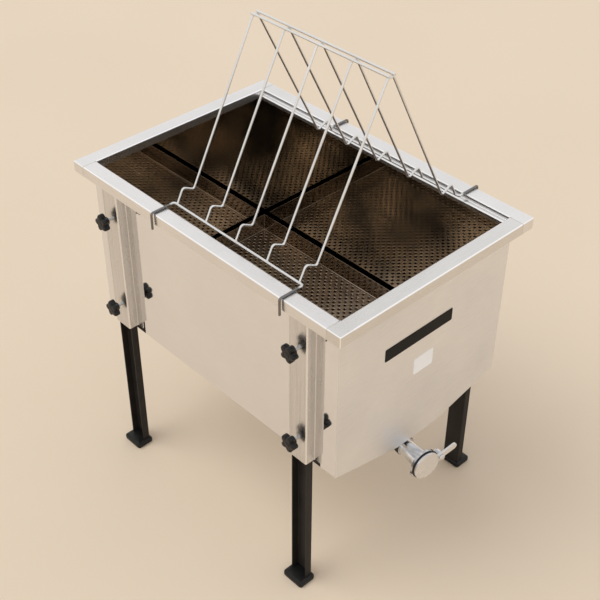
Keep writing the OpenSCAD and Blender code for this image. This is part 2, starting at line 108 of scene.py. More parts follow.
def blend_colours(tree, factor, a, b):
    """Mixes two colours; a and b are sockets or colours."""
    made = tree.nodes.new("ShaderNodeMix")
    made.data_type = "RGBA"
    tree.links.new(factor, made.inputs[0])
    for socket, value in ((made.inputs[6], a), (made.inputs[7], b)):
        if isinstance(value, tuple):
            socket.default_value = value
        else:
            tree.links.new(value, socket)
    return made.outputs[2]


# Rolled sheet: a grain drawn out along one direction, cloudy handling marks and the
# slow waves of a thin sheet.
rolled_sheet, given, out = new_group(
    "rolled_sheet",
    [("Grain", "NodeSocketVector", (40, 900, 900)), ("Clear", "NodeSocketColor", (0.8, 0.8, 0.8, 1)),
     ("Clouded", "NodeSocketColor", (0.7, 0.7, 0.7, 1)), ("Smooth", "NodeSocketFloat", 0.1),
     ("Rough", "NodeSocketFloat", 0.2), ("Wave", "NodeSocketFloat", 1.0),
     ("Scratch", "NodeSocketFloat", 0.05), ("Streak", "NodeSocketFloat", 0.4)],
    [("Color", "NodeSocketColor"), ("Roughness", "NodeSocketFloat"), ("Height", "NodeSocketFloat")])
place = rolled_sheet.nodes.new("ShaderNodeTexCoord").outputs["Object"]
drawn = rolled_sheet.nodes.new("ShaderNodeVectorMath")
drawn.operation = "MULTIPLY"
rolled_sheet.links.new(place, drawn.inputs[0])
rolled_sheet.links.new(given.outputs["Grain"], drawn.inputs[1])
grain = noise(rolled_sheet, drawn.outputs[0], scale=1.0, detail=3.0)
cloud = noise(rolled_sheet, place, scale=6.0, detail=5.0)
wave = noise(rolled_sheet, place, scale=3.6, detail=1.0)
streak = given.outputs["Streak"]
clouds = maths(rolled_sheet, "MULTIPLY", cloud, maths(rolled_sheet, "SUBTRACT", 1.0, streak))
marks = maths(rolled_sheet, "ADD", clouds, maths(rolled_sheet, "MULTIPLY", grain, streak))
clouding = spread(rolled_sheet, marks, 0.0, 1.0)
rolled_sheet.links.new(
    blend_colours(rolled_sheet, clouding, given.outputs["Clear"], given.outputs["Clouded"]),
    out.inputs["Color"])
rolled_sheet.links.new(
    spread(rolled_sheet, marks, given.outputs["Smooth"], given.outputs["Rough"]), out.inputs["Roughness"])
rolled_sheet.links.new(
    maths(rolled_sheet, "ADD", maths(rolled_sheet, "MULTIPLY", wave, given.outputs["Wave"]),
          maths(rolled_sheet, "MULTIPLY", grain, given.outputs["Scratch"])),
    out.inputs["Height"])


def new_material(name):
    """A material with one Principled shader, its tree and the shader."""
    material = bpy.data.materials.new(name)
    material.use_nodes = True
    tree = material.node_tree
    tree.nodes.clear()
    shader = tree.nodes.new("ShaderNodeBsdfPrincipled")
    tree.links.new(shader.outputs["BSDF"], tree.nodes.new("ShaderNodeOutputMaterial").inputs["Surface"])
    return material, tree, shader


def place_group(tree, group, **values):
    """Puts a shader group in a material with its own values."""
    made = tree.nodes.new("ShaderNodeGroup")
    made.node_tree = group
    for label, value in values.items():
        made.inputs[label].default_value = value
    return made


def bump(tree, shader, height, depth, strength=1.0):
    """Feeds a height, depth metres deep at full value, to the shader's normal."""
    made = tree.nodes.new("ShaderNodeBump")
    made.inputs["Strength"].default_value = strength
    made.inputs["Distance"].default_value = depth
    tree.links.new(height, made.inputs["Height"])
    tree.links.new(made.outputs["Normal"], shader.inputs["Normal"])


def inside_tub(tree):
    """1 on faces that look into the tub, 0 on its outside."""
    surface = tree.nodes.new("ShaderNodeNewGeometry")
    position = tree.nodes.new("ShaderNodeSeparateXYZ")
    tree.links.new(tree.nodes.new("ShaderNodeTexCoord").outputs["Object"], position.inputs[0])
    facing = tree.nodes.new("ShaderNodeSeparateXYZ")
    tree.links.new(surface.outputs["Normal"], facing.inputs[0])
    from_middle = maths(tree, "SUBTRACT", position.outputs["X"], tub_x)
    inward = maths(tree, "ADD", maths(tree, "MULTIPLY", from_middle, facing.outputs["X"]),
                   maths(tree, "MULTIPLY", position.outputs["Y"], facing.outputs["Y"]))
    upward = maths(tree, "MULTIPLY", facing.outputs["Z"], -1.0)
    surely_inward = -0.02
    return maths(tree, "LESS_THAN", maths(tree, "ADD", inward, upward), surely_inward)


def tub_steel(name, grain_run, clear, clouded, smooth, rough):
    """The given polish outside; inside, a mirror with painted shade and reflection, coloured darker, browner
    and patchy.
    """
    material, tree, shader = new_material(name)
    shader.inputs["Metallic"].default_value = 1.0
    polish = place_group(tree, rolled_sheet, Grain=grain_run, Clear=clear, Clouded=clouded,
                         Smooth=smooth, Rough=rough, Wave=1.0, Scratch=0.03)
    # Painted shade and reflection: the inside's colour is darkened, browned and made patchy
    shaded_mirror = place_group(tree, rolled_sheet, Grain=grain_run, Clear=(0.88, 0.77, 0.63, 1),
                         Clouded=(0.17, 0.167, 0.158, 1), Smooth=0.005, Rough=0.015, Wave=0.8,
                         Scratch=0.0, Streak=0.05)
    inside = inside_tub(tree)
    tree.links.new(blend_colours(tree, inside, polish.outputs["Color"], shaded_mirror.outputs["Color"]),
                   shader.inputs["Base Color"])
    chosen = {}
    for label in ("Roughness", "Height"):
        finish = tree.nodes.new("ShaderNodeMix")
        tree.links.new(inside, finish.inputs["Factor"])
        tree.links.new(polish.outputs[label], finish.inputs["A"])
        tree.links.new(shaded_mirror.outputs[label], finish.inputs["B"])
        chosen[label] = finish.outputs["Result"]
    tree.links.new(chosen["Roughness"], shader.inputs["Roughness"])
    bump(tree, shader, chosen["Height"], depth=0.25 * MM)
    return material


def wear(obj, material):
    """Gives an object that one material."""
    obj.data.materials.clear()
    obj.data.materials.append(material)


wall_steel = tub_steel("wall_steel", grain_run=(40, 900, 900), clear=(0.85, 0.86, 0.88, 1),
                       clouded=(0.79, 0.79, 0.81, 1), smooth=0.03, rough=0.07)
end_steel = tub_steel("end_steel", grain_run=(900, 40, 900), clear=(0.86, 0.85, 0.85, 1),
                      clouded=(0.74, 0.73, 0.73, 1), smooth=0.42, rough=0.54)
wear(nodes["tub_wrap"], wall_steel)
wear(nodes["outlet_wall"], end_steel)
wear(nodes["rear_wall"], end_steel)


# Rim
# Four folded strips of satin stainless sheet round the tub's mouth. The long ones carry
# a stepped ledge inside; each corner square is part of one strip, with an open seam
# beside the next.

SHEET = 1.2 * MM
rim_fold_r = 2.4 * MM
seam = 0.9 * MM
rim_w = 35 * MM
ledge_drop = 11 * MM
ledge_edge_h = 10 * MM
end_edge_h = 20 * MM


def rounded(points, r, steps=6):
    """A polyline's points with each inner corner rounded to radius r."""
    path = [Vector(points[0])]
    for before, corner, after in zip(points, points[1:], points[2:]):
        before, corner, after = Vector(before), Vector(corner), Vector(after)
        a = (before - corner).normalized()
        b = (after - corner).normalized()
        half = a.angle(b) / 2
        reach = min(r / math.tan(half), (before - corner).length * 0.5, (after - corner).length * 0.5)
        radius = reach * math.tan(half)
        centre = corner + (a + b).normalized() * (radius / math.sin(half))
        start, end = corner + a * reach - centre, corner + b * reach - centre
        turn = start.angle_signed(end)
        for i in range(steps + 1):
            path.append(centre + Matrix.Rotation(-turn * i / steps, 2) @ start)
    path.append(Vector(points[-1]))
    return path


def fold(points, thickness, r):
    """The closed outline of a sheet folded along a polyline's middle line."""
    path = rounded(points, r)
    left, right = [], []
    for i, p in enumerate(path):
        ahead = path[min(i + 1, len(path) - 1)] - path[max(i - 1, 0)]
        side = Vector((-ahead.y, ahead.x)).normalized() * (thickness / 2)
        left.append(p + side)
        right.append(p - side)
    return left + right[::-1]


def loft(bm, rings):
    """Skins closed rings of equal length one after another, and caps both ends."""
    made = [[bm.verts.new(p) for p in ring] for ring in rings]
    for a, b in zip(made, made[1:]):
        for i in range(len(a)):
            j = (i + 1) % len(a)
            bm.faces.new((a[i], a[j], b[j], b[i]))
    bm.faces.new(made[0][::-1])
    bm.faces.new(made[-1])


def finished(bm, name, material, smooth=30):
    """Turns a bmesh into a piece with smooth faces and sharp corners."""
    bmesh.ops.recalc_face_normals(bm, faces=bm.faces)
    mesh = bpy.data.meshes.new(name)
    bm.to_mesh(mesh)
    bm.free()
    mesh.shade_smooth()
    mesh.set_sharp_from_angle(angle=math.radians(smooth))
    obj = bpy.data.objects.new(name, mesh)
    bpy.context.scene.collection.objects.link(obj)
    mesh.materials.append(material)
    return obj


def corner_cover(bm, low, high, lips):
    """A folded corner square: its top, and a lip down each of the named sides."""
    part = bmesh.new()
    bmesh.ops.create_cube(part, size=1.0)
    for v in part.verts:
        v.co = Vector(low[i] if v.co[i] < 0 else high[i] for i in range(3))
    part.normal_update()
    kept = [Vector((0, 0, 1))] + [Vector(side) for side in lips]
    same_way = 0.9
    dropped = [f for f in part.faces if not any(f.normal.dot(k) > same_way for k in kept)]
    bmesh.ops.delete(part, geom=dropped, context="FACES")
    bmesh.ops.bevel(part, geom=[e for e in part.edges if len(e.link_faces) == 2], offset=rim_fold_r,
                    segments=5, profile=0.5, affect="EDGES")
    bmesh.ops.recalc_face_normals(part, faces=part.faces)
    if sum(f.normal.z for f in part.faces) < 0:
        bmesh.ops.reverse_faces(part, faces=part.faces)
    bmesh.ops.solidify(part, geom=part.faces[:], thickness=SHEET)
    part_mesh = bpy.data.meshes.new("corner_cover")
    part.to_mesh(part_mesh)
    part.free()
    bm.from_mesh(part_mesh)
    bpy.data.meshes.remove(part_mesh)


# Painted highlight: folds are painted brighter than the sheet's flat sides, which lie along the
# axes, where they are beyond a distance from the tub's long middle plane
painted_fold_highlight, given, out = new_group(
    "painted_fold_highlight", [("Color", "NodeSocketColor", (0.8, 0.8, 0.8, 1)), ("Shine", "NodeSocketFloat", 0.8),
                       ("Beyond", "NodeSocketFloat", 0.0)],
    [("Color", "NodeSocketColor")])
flat_side = painted_fold_highlight.nodes.new("ShaderNodeVectorMath")
flat_side.operation = "ABSOLUTE"
surface = painted_fold_highlight.nodes.new("ShaderNodeNewGeometry")
painted_fold_highlight.links.new(surface.outputs["True Normal"], flat_side.inputs[0])
along = painted_fold_highlight.nodes.new("ShaderNodeSeparateXYZ")
painted_fold_highlight.links.new(flat_side.outputs[0], along.inputs[0])
level = maths(painted_fold_highlight, "MAXIMUM", along.outputs["X"], along.outputs["Y"])
flattest = maths(painted_fold_highlight, "MAXIMUM", level, along.outputs["Z"])
position = painted_fold_highlight.nodes.new("ShaderNodeSeparateXYZ")
painted_fold_highlight.links.new(painted_fold_highlight.nodes.new("ShaderNodeTexCoord").outputs["Object"], position.inputs[0])
from_plane = maths(painted_fold_highlight, "ABSOLUTE", position.outputs["Y"], 0.0)
outside = maths(painted_fold_highlight, "GREATER_THAN", from_plane, given.outputs["Beyond"])
flat_from = 0.985
fold_highlight_mask = maths(painted_fold_highlight, "MULTIPLY", maths(painted_fold_highlight, "LESS_THAN", flattest, flat_from),
                maths(painted_fold_highlight, "MULTIPLY", outside, given.outputs["Shine"]))
# Colour of the painted fold highlight
highlight_white = (0.98, 0.98, 0.98, 1)
painted_fold_highlight.links.new(blend_colours(painted_fold_highlight, fold_highlight_mask, given.outputs["Color"], highlight_white),
                         out.inputs["Color"])


def sheet_metal(name, depth, shine=0.0, beyond=0.0, **finish):
    """Bare metal sheet with the given rolled finish; shine paints a highlight on its outer folds."""
    material, tree, shader = new_material(name)
    shader.inputs["Metallic"].default_value = 1.0
    sheet = place_group(tree, rolled_sheet, **finish)
    colour = sheet.outputs["Color"]
    if shine:
        folds = place_group(tree, painted_fold_highlight, Shine=shine, Beyond=beyond)
        tree.links.new(colour, folds.inputs["Color"])
        colour = folds.outputs["Color"]
    tree.links.new(colour, shader.inputs["Base Color"])
    tree.links.new(sheet.outputs["Roughness"], shader.inputs["Roughness"])
    bump(tree, shader, sheet.outputs["Height"], depth)
    return material


# Both rim steels carry the painted highlight on their folds
rim_steel = sheet_metal("rim_steel", depth=0.2 * MM, shine=1.0, Grain=(30, 700, 700),
                        Clear=(0.84, 0.83, 0.83, 1), Clouded=(0.75, 0.74, 0.74, 1),
                        Smooth=0.24, Rough=0.36, Wave=0.6)
# The outlet rim's colour is darker than the other rims': painted shade
shaded_outlet_rim_steel = sheet_metal("shaded_outlet_rim_steel", depth=0.2 * MM, shine=1.0, Grain=(700, 30, 700),
                               Clear=(0.77, 0.76, 0.75, 1), Clouded=(0.67, 0.66, 0.65, 1),
                               Smooth=0.22, Rough=0.34, Wave=0.6)

rim_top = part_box("front_rim")[1].z
lip_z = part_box("front_rim")[0].z
rim_out_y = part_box("back_rim")[1].y
rim_out_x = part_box("outlet_rim")[1].x - tub_x
rim_in_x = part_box("outlet_rim")[0].x - tub_x
rim_in_y = rim_out_y - rim_w
ledge_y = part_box("back_rim")[0].y
ledge_z = rim_top - ledge_drop
ledge_edge_z = ledge_z - ledge_edge_h
end_edge_z = rim_top - end_edge_h
middle = SHEET / 2

long_profile = fold([(rim_out_y - middle, lip_z), (rim_out_y - middle, rim_top - middle),
                     (rim_in_y + middle, rim_top - middle), (rim_in_y + middle, ledge_z - middle),
                     (ledge_y + middle, ledge_z - middle), (ledge_y + middle, ledge_edge_z)],
                    SHEET, rim_fold_r)
end_profile = fold([(rim_out_x - middle, lip_z), (rim_out_x - middle, rim_top - middle),
                    (rim_in_x + middle, rim_top - middle), (rim_in_x + middle, end_edge_z)],
                   SHEET, rim_fold_r)

for node, side, owns_outlet in (("front_rim", -1, False), ("back_rim", 1, True)):
    bm = bmesh.new()
    stop = rim_in_x if owns_outlet else rim_in_x - seam
    loft(bm, [[Vector((tub_x + x, side * p.x, p.y)) for p in long_profile]
              for x in (-rim_in_x + seam, stop)])
    if owns_outlet:
        corner_cover(bm, (tub_x + rim_in_x, rim_in_y, lip_z), (tub_x + rim_out_x, rim_out_y, rim_top),
                     ((1, 0, 0), (0, 1, 0)))
    piece = finished(bm, node + "_strip", rim_steel)
    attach(piece, "tank")
    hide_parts(node)

for node, side, owned in (("outlet_rim", 1, (-1,)), ("rear_rim", -1, (-1, 1))):
    bm = bmesh.new()
    back_stop = rim_in_y - (0 if 1 in owned else seam)
    loft(bm, [[Vector((tub_x + side * p.x, y, p.y)) for p in end_profile]
              for y in (-rim_in_y, back_stop)])
    for across in owned:
        xs = sorted((tub_x + side * rim_in_x, tub_x + side * rim_out_x))
        ys = sorted((across * rim_in_y, across * rim_out_y))
        corner_cover(bm, (xs[0], ys[0], lip_z), (xs[1], ys[1], rim_top), ((side, 0, 0), (0, across, 0)))
    piece = finished(bm, node + "_strip", shaded_outlet_rim_steel if node == "outlet_rim" else rim_steel)
    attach(piece, "tank")
    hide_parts(node)


# Sieve tray
# A loose shallow tray of stainless sheet: its floor is punched with round holes in staggered
# rows, its plain sides are turned up and hemmed. It lies on an angle welded to each end wall.

hole_across = 9.1 * MM
hole_row = 10.4 * MM
hole_r = 2.9 * MM
bare_edge = 6 * MM
tray_t = 1.0 * MM
tray_low, tray_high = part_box("sieve_sides")
tray_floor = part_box("sieve_sheet")[1].z


def punched(bm, corner, length, width):
    """A flat sheet from a corner along X and Y, with a hole in every other cell of a grid."""
    columns = int((length - 2 * bare_edge) / hole_across)
    rows = int((width - 2 * bare_edge) / hole_row)
    left = (length - columns * hole_across) / 2
    low = (width - rows * hole_row) / 2

    def at(u, v):
        return bm.verts.new(corner + Vector((u, v, 0)))

    grid = [[at(left + i * hole_across, low + j * hole_row) for j in range(rows + 1)]
            for i in range(columns + 1)]
    # A hole has twelve points, three towards each corner of its cell
    turns = [math.radians(k * 30 - 165) for k in range(12)]
    ring = [(hole_r * math.cos(t), hole_r * math.sin(t)) for t in turns]
    for i in range(columns):
        for j in range(rows):
            cell = (grid[i][j], grid[i + 1][j], grid[i + 1][j + 1], grid[i][j + 1])
            if (i + j) % 2:
                bm.faces.new(cell)
                continue
            u, v = left + (i + 0.5) * hole_across, low + (j + 0.5) * hole_row
            edge = [at(u + x, v + y) for x, y in ring]
            for k in range(4):
                bm.faces.new((cell[k], edge[3 * k + 1], edge[3 * k]))
                bm.faces.new((cell[k], edge[3 * k + 2], edge[3 * k + 1]))
                bm.faces.new((cell[k], cell[(k + 1) % 4], edge[(3 * k + 3) % 12], edge[3 * k + 2]))
    outer = [at(0, 0), at(length, 0), at(length, width), at(0, width)]
    bm.faces.new([outer[0], outer[1]] + [grid[i][0] for i in range(columns, -1, -1)])
    bm.faces.new([outer[1], outer[2]] + [grid[columns][j] for j in range(rows, -1, -1)])
    bm.faces.new([outer[2], outer[3]] + [grid[i][rows] for i in range(columns + 1)])
    bm.faces.new([outer[3], outer[0]] + [grid[0][j] for j in range(rows + 1)])


# Painted shade and reflection: the tray's steel is coloured a dark brown, standing in for the dim inside of
# the tub
sieve_steel = sheet_metal("sieve_steel", depth=0.3 * MM, Grain=(40, 500, 500),
                          Clear=(0.44, 0.365, 0.295, 1), Clouded=(0.20, 0.165, 0.133, 1),
                          Smooth=0.09, Rough=0.18, Wave=0.8, Scratch=0.02)

tray_l = tray_high.x - tray_low.x
tray_w = tray_high.y - tray_low.y
bm = bmesh.new()
punched(bm, Vector((tray_low.x, tray_low.y, tray_floor - tray_t / 2)), tray_l, tray_w)
floor_piece = finished(bm, "sieve_floor", sieve_steel)
thickness = floor_piece.modifiers.new("thickness", "SOLIDIFY")
thickness.thickness = tray_t
thickness.offset = 0

# The sides are one bent strip round the tray, with a rolled hem on top
tray_corner_r = 3 * MM
hem_r = 1.0 * MM
hem_depth = 2.2 * hem_r
side_gap = 0.02 * MM
side_base = tray_floor + side_gap
side_bend_r = 3 * MM
# Distance in from the tray's outer face, and height: up the outside, round the hem, down
# the inside and round the bend to the floor
side_profile = [(0.0, side_base), (0.0, tray_high.z - hem_r)]
side_profile += [(hem_r - hem_r * math.cos(t), tray_high.z - hem_r + hem_r * math.sin(t))
                 for t in (math.radians(a) for a in (30, 60, 90, 120, 150, 180, 215))]
side_profile += [(tray_t, tray_high.z - hem_depth)]
side_profile += [(tray_t + side_bend_r - side_bend_r * math.cos(t),
                  side_base + side_bend_r - side_bend_r * math.sin(t))
                 for t in (math.radians(a) for a in (0, 22.5, 45, 67.5, 90))]
least_corner_r = 0.5 * MM


def round_rectangle(low, high, r, inset, steps=6):
    """Points round a rectangle with rounded corners, taken in by inset."""
    points = []
    r = max(r - inset, least_corner_r)
    for x, y, turn in ((high.x, high.y, 0), (low.x, high.y, 1), (low.x, low.y, 2), (high.x, low.y, 3)):
        cx = x + (-1 if x == high.x else 1) * (inset + r)
        cy = y + (-1 if y == high.y else 1) * (inset + r)
        for k in range(steps + 1):
            t = (turn + k / steps) * math.pi / 2
            points.append((cx + r * math.cos(t), cy + r * math.sin(t)))
    return points


bm = bmesh.new()
rings = [[bm.verts.new((x, y, z)) for x, y in round_rectangle(tray_low, tray_high, tray_corner_r, inset)]
         for inset, z in side_profile]
for one, other in zip(rings, rings[1:] + rings[:1]):
    for i in range(len(one)):
        j = (i + 1) % len(one)
        bm.faces.new((one[i], one[j], other[j], other[i]))
sides_piece = finished(bm, "sieve_turned_sides", sieve_steel)
for piece, node in ((floor_piece, "sieve_sheet"), (sides_piece, "sieve_sides")):
    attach(piece, "sieve")
    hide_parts(node)
wear(nodes["tray_rest_outlet"], end_steel)
wear(nodes["tray_rest_rear"], end_steel)


# Leg sleeves
# Hat-shaped sleeves folded from satin stainless sheet and spot-welded to the long walls
# near their corners. Each guides one leg; weld nuts behind its face take the clamp studs.

corners = {"front_outlet": (1, -1), "front_rear": (-1, -1), "back_outlet": (1, 1), "back_rear": (-1, 1)}
sleeve_half = 25.5 * MM
sleeve_fold_r = 3 * MM
spot_r = 2.6 * MM
spot_rows = 9
spot_sink = 0.02 * MM
# Radius and height of a spot weld's rings, from its edge to its dimpled middle
spot_rings = ((spot_r, 0.0), (spot_r * 0.8, 0.25 * MM), (spot_r * 0.5, 0.1 * MM), (spot_r * 0.1, 0.05 * MM))
spot_turns = [k * math.tau / 12 for k in range(12)]

# Painted shade and highlight: the sleeve sheet's colour is darker than the rims', and its outer folds carry
# the painted highlight
shaded_sleeve_steel = sheet_metal("shaded_sleeve_steel", depth=0.25 * MM, shine=0.6, beyond=wall_y + 12 * MM,
                           Grain=(130, 130, 3), Clear=(0.74, 0.73, 0.73, 1), Clouded=(0.62, 0.61, 0.61, 1),
                           Smooth=0.20, Rough=0.32, Wave=0.6, Streak=0.7)

for corner, (_, side) in corners.items():
    low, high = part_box("sleeve_" + corner)
    mid_x = (low.x + high.x) / 2
    foot = (high.x - low.x) / 2
    depth = high.y - low.y
    wall = low.y if side > 0 else high.y
    web_end = sleeve_half - middle
    outline = fold([(-foot, middle), (-web_end, middle), (-web_end, depth - middle),
                    (web_end, depth - middle), (web_end, middle), (foot, middle)], SHEET, sleeve_fold_r)
    bm = bmesh.new()
    loft(bm, [[Vector((mid_x + p.x, wall + side * p.y, z)) for p in outline] for z in (low.z, high.z)])
    flange_mid = (sleeve_half + foot) / 2 + sleeve_fold_r / 2
    for i in range(spot_rows):
        z = low.z + (high.z - low.z) * (i + 0.5) / spot_rows
        for x in (-flange_mid, flange_mid):
            rings = []
            for r, rise in spot_rings:
                y = wall + side * (SHEET - spot_sink + rise)
                rings.append([Vector((mid_x + x + r * math.cos(t), y, z + r * math.sin(t)))
                              for t in spot_turns])
            loft(bm, rings)
    piece = finished(bm, "sleeve_hat_" + corner, shaded_sleeve_steel)
    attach(piece, "tank")
    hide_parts("sleeve_" + corner)


# Legs
# Rolled steel channels with a satin dark powder coat, open outwards. They slide in the
# sleeves and are clamped there.

leg_t = 2.5 * MM
leg_fold_r = 3 * MM

# Fine pimples of a powder coat or of moulded plastic, and a slow change of tone.
fine_pimples, given, out = new_group(
    "fine_pimples",
    [("Scale", "NodeSocketFloat", 900.0), ("Dark", "NodeSocketColor", (0.01, 0.01, 0.01, 1)),
     ("Pale", "NodeSocketColor", (0.03, 0.03, 0.03, 1)), ("Smooth", "NodeSocketFloat", 0.4),
     ("Rough", "NodeSocketFloat", 0.55)],
    [("Color", "NodeSocketColor"), ("Roughness", "NodeSocketFloat"), ("Height", "NodeSocketFloat")])
place = fine_pimples.nodes.new("ShaderNodeTexCoord").outputs["Object"]
pimples = fine_pimples.nodes.new("ShaderNodeTexNoise")
pimples.inputs["Detail"].default_value = 2.0
fine_pimples.links.new(place, pimples.inputs["Vector"])
fine_pimples.links.new(given.outputs["Scale"], pimples.inputs["Scale"])
tone = noise(fine_pimples, place, scale=24.0, detail=4.0)
paling = spread(fine_pimples, tone, 0.0, 1.0)
fine_pimples.links.new(
    blend_colours(fine_pimples, paling, given.outputs["Dark"], given.outputs["Pale"]), out.inputs["Color"])
fine_pimples.links.new(
    spread(fine_pimples, tone, given.outputs["Smooth"], given.outputs["Rough"]), out.inputs["Roughness"])
fine_pimples.links.new(pimples.outputs["Fac"], out.inputs["Height"])

# Dust that settles on faces turned upwards.
settled_dust, given, out = new_group(
    "settled_dust", [("Amount", "NodeSocketFloat", 0.2)], [("Mask", "NodeSocketFloat")])
facing = settled_dust.nodes.new("ShaderNodeSeparateXYZ")
settled_dust.links.new(settled_dust.nodes.new("ShaderNodeNewGeometry").outputs["Normal"], facing.inputs[0])
place = settled_dust.nodes.new("ShaderNodeTexCoord").outputs["Object"]
patch = noise(settled_dust, place, scale=60.0, detail=6.0)
upturned = maths(settled_dust, "MAXIMUM", facing.outputs["Z"], 0.0)
patchy = maths(settled_dust, "MULTIPLY", upturned, spread(settled_dust, patch, 0.2, 1.0))
settled_dust.links.new(maths(settled_dust, "MULTIPLY", patchy, given.outputs["Amount"]), out.inputs["Mask"])
dust_colour = (0.36, 0.33, 0.29, 1)


def pimpled_coat(name, dark, pale, smooth, rough, scale, depth, dust, gloss=0.35):
    """A moulded or coated finish with pimples and a little dust."""
    material, tree, shader = new_material(name)
    shader.inputs["Specular IOR Level"].default_value = gloss
    coat = place_group(tree, fine_pimples, Scale=scale, Dark=dark, Pale=pale, Smooth=smooth, Rough=rough)
    dusty = place_group(tree, settled_dust, Amount=dust)
    tree.links.new(blend_colours(tree, dusty.outputs["Mask"], coat.outputs["Color"], dust_colour),
                   shader.inputs["Base Color"])
    tree.links.new(coat.outputs["Roughness"], shader.inputs["Roughness"])
    bump(tree, shader, coat.outputs["Height"], depth)
    return material


leg_coat = pimpled_coat("leg_coat", dark=(0.020, 0.0172, 0.015, 1), pale=(0.030, 0.026, 0.023, 1),
                        smooth=0.32, rough=0.45, scale=700.0, depth=0.05 * MM, dust=0.03, gloss=0.1)

for corner, (_, side) in corners.items():
    low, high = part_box("leg_" + corner)
    mid_x = (low.x + high.x) / 2
    half = (high.x - low.x) / 2 - leg_t / 2
    depth = high.y - low.y
    web = low.y if side > 0 else high.y
    outline = fold([(-half, depth), (-half, leg_t / 2), (half, leg_t / 2), (half, depth)],
                   leg_t, leg_fold_r)
    bm = bmesh.new()
    loft(bm, [[Vector((mid_x + p.x, web + side * p.y, z)) for p in outline] for z in (low.z, high.z)])
    piece = finished(bm, "leg_channel_" + corner, leg_coat)
    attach(piece, corner + "_leg")
    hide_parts("leg_" + corner)


# Feet
# Moulded dark plastic caps pushed on the ends of the legs, with rounded corners and a
# bevelled upper edge.

foot_corner_r = 6 * MM
# Share of the foot's height, and millimetres that its outline is taken in there
foot_levels = ((0.0, 1.2), (0.06, 0.4), (0.14, 0.0), (0.62, 0.0), (0.74, 0.5), (0.86, 2.0), (0.95, 3.6),
               (1.0, 5.4))
foot_plastic = pimpled_coat("foot_plastic", dark=(0.004, 0.004, 0.004, 1), pale=(0.009, 0.009, 0.009, 1),
                            smooth=0.36, rough=0.5, scale=500.0, depth=0.08 * MM, dust=0.02, gloss=0.25)

for corner in corners:
    low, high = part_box("foot_" + corner)
    h = high.z - low.z
    rings = []
    for share, inset in foot_levels:
        outline = round_rectangle(low, high, foot_corner_r, inset * MM)
        rings.append([Vector((x, y, low.z + h * share)) for x, y in outline])
    bm = bmesh.new()
    loft(bm, rings)
    piece = finished(bm, "foot_cap_" + corner, foot_plastic, 50)
    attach(piece, corner + "_leg")
    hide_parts("foot_" + corner)


# Clamp knobs
# Moulded five-lobed star knobs on zinc-plated threaded studs. A stud screws through the
# weld nut behind the sleeve's face and presses on the leg.

knob_plastic = pimpled_coat("knob_plastic", dark=(0.005, 0.005, 0.005, 1), pale=(0.011, 0.011, 0.011, 1),
                            smooth=0.26, rough=0.40, scale=900.0, depth=0.06 * MM, dust=0.02, gloss=0.3)

# Zinc plating: a bright metal with fine speckle
plating = sheet_metal("plating", depth=0.1 * MM, Grain=(1400, 1400, 1400), Clear=(0.80, 0.80, 0.79, 1),
                      Clouded=(0.66, 0.66, 0.66, 1), Smooth=0.16, Rough=0.30, Wave=0.4)
wear(nodes["clamp_nuts"], plating)

lobes = 5
star_peak = 20 * MM
star_valley = 12.8 * MM
lobe_breadth = 0.7
knob_round = 80
knob_turns = [k * math.tau / knob_round for k in range(knob_round)]
thread_pitch = 1.25 * MM
thread_depth = 0.7 * MM
thread_gap = 0.02 * MM
thread_turns = [k * math.tau / 24 for k in range(24)]
# Radius and height above the hub's base, in millimetres: the hub from its bore outwards
hub_steps = ((4.1, 0.0), (8.2, 0.0), (9.0, 0.7), (9.0, 4.4))
# Radius and height in millimetres: the groove round the cap in the star's face, and the cap
cap_steps = ((8.2, 20.0), (7.8, 19.4), (7.2, 19.2), (6.8, 19.7), (3.0, 19.9))
# Height above the hub's base in millimetres, and the share of the star's full width there
star_steps = ((5.0, 0.66), (5.2, 0.86), (5.9, 0.95), (7.2, 1.0), (15.8, 1.0), (17.6, 0.975), (18.9, 0.92),
              (19.7, 0.83), (20.0, 0.70))


def star(t):
    """The star's radius at angle t: broad round lobes with narrower hollows between."""
    return star_valley + (star_peak - star_valley) * ((1 + math.cos(lobes * t)) / 2) ** lobe_breadth


for corner, (end, side) in corners.items():
    for level in ("upper", "lower"):
        at = corner + "_" + level
        stud_low, stud_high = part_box("stud_" + at)
        knob_low, knob_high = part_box("knob_" + at)
        axis_x, axis_z = (stud_low.x + stud_high.x) / 2, (stud_low.z + stud_high.z) / 2
        base_y = knob_low.y if side > 0 else knob_high.y

        def ring(radii, rise):
            y = base_y + side * rise * MM
            return [Vector((axis_x + end * r * math.cos(t), y, axis_z + r * math.sin(t)))
                    for r, t in zip(radii, knob_turns)]

        rings = [ring([r * MM] * knob_round, rise) for r, rise in hub_steps]
        rings += [ring([star(t) * share for t in knob_turns], rise) for rise, share in star_steps]
        rings += [ring([r * MM] * knob_round, rise) for r, rise in cap_steps]
        bm = bmesh.new()
        loft(bm, rings)
        piece = finished(bm, "star_knob_" + at, knob_plastic, 50)
        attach(piece, at + "_knob")
        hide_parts("knob_" + at)

        stud_r = (stud_high.z - stud_low.z) / 2
        length = stud_high.y - stud_low.y
        ridges = int(length / thread_pitch)
        tip_y = stud_low.y if side > 0 else stud_high.y
        root_r = stud_r - thread_depth
        crest_r = stud_r - thread_gap
        rings = []
        for i in range(ridges):
            for share, r in ((0.0, root_r), (0.35, crest_r), (0.65, crest_r)):
                y = tip_y + side * (i + share) * thread_pitch
                rings.append([Vector((axis_x + r * math.cos(t), y, axis_z + r * math.sin(t)))
                              for t in thread_turns])
        bm = bmesh.new()
        loft(bm, rings)
        piece = finished(bm, "threaded_stud_" + at, plating, 20)
        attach(piece, at + "_knob")
        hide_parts("stud_" + at)


# Outlet pipe and valve
# A bent pipe welded in the trough's floor carries a polished cast spout. Dark rubber
# seals it at both ends, and a cast swing gate with a short lever closes its mouth.

